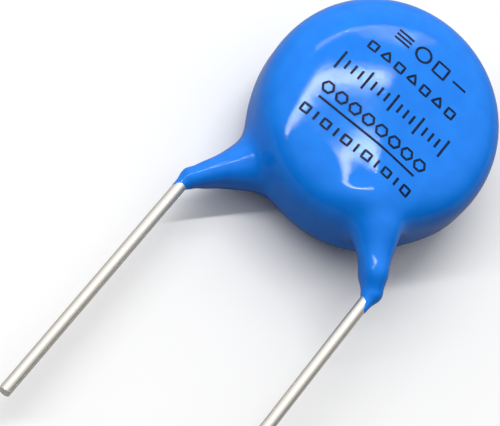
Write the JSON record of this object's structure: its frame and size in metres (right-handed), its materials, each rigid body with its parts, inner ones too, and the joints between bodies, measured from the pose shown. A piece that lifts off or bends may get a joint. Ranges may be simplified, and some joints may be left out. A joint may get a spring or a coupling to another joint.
{
  "type": "ceramic disc capacitor",
  "caption": "Radial leaded ceramic disc capacitor: a round blue epoxy-coated disc with tinned wire leads that leave through flared necks.",
  "frame": {"origin": "midway between the two straight leads, level with the bends at the end of the coating", "axes": "+Z out of the printed front face, which looks up; -Y along the leads towards their cut ends; +X across the leads, towards the front lead"},
  "size_m": [0.012, 0.0287, 0.0058],
  "materials": {
    "blue_epoxy": "gloss",
    "tinned_wire": "bright drawn wire, tin plated",
    "fired_ceramic": "matte",
    "silver_film": "matte fired silver",
    "solder": "satin"
  },
  "bodies": {
    "root": {"epoxy_coating": "blue_epoxy", "ceramic_disc": "fired_ceramic", "front_electrode": "silver_film", "rear_electrode": "silver_film", "front_solder": "solder", "rear_solder": "solder", "front_lead": "tinned_wire", "rear_lead": "tinned_wire"}
  },
  "joints": []
}
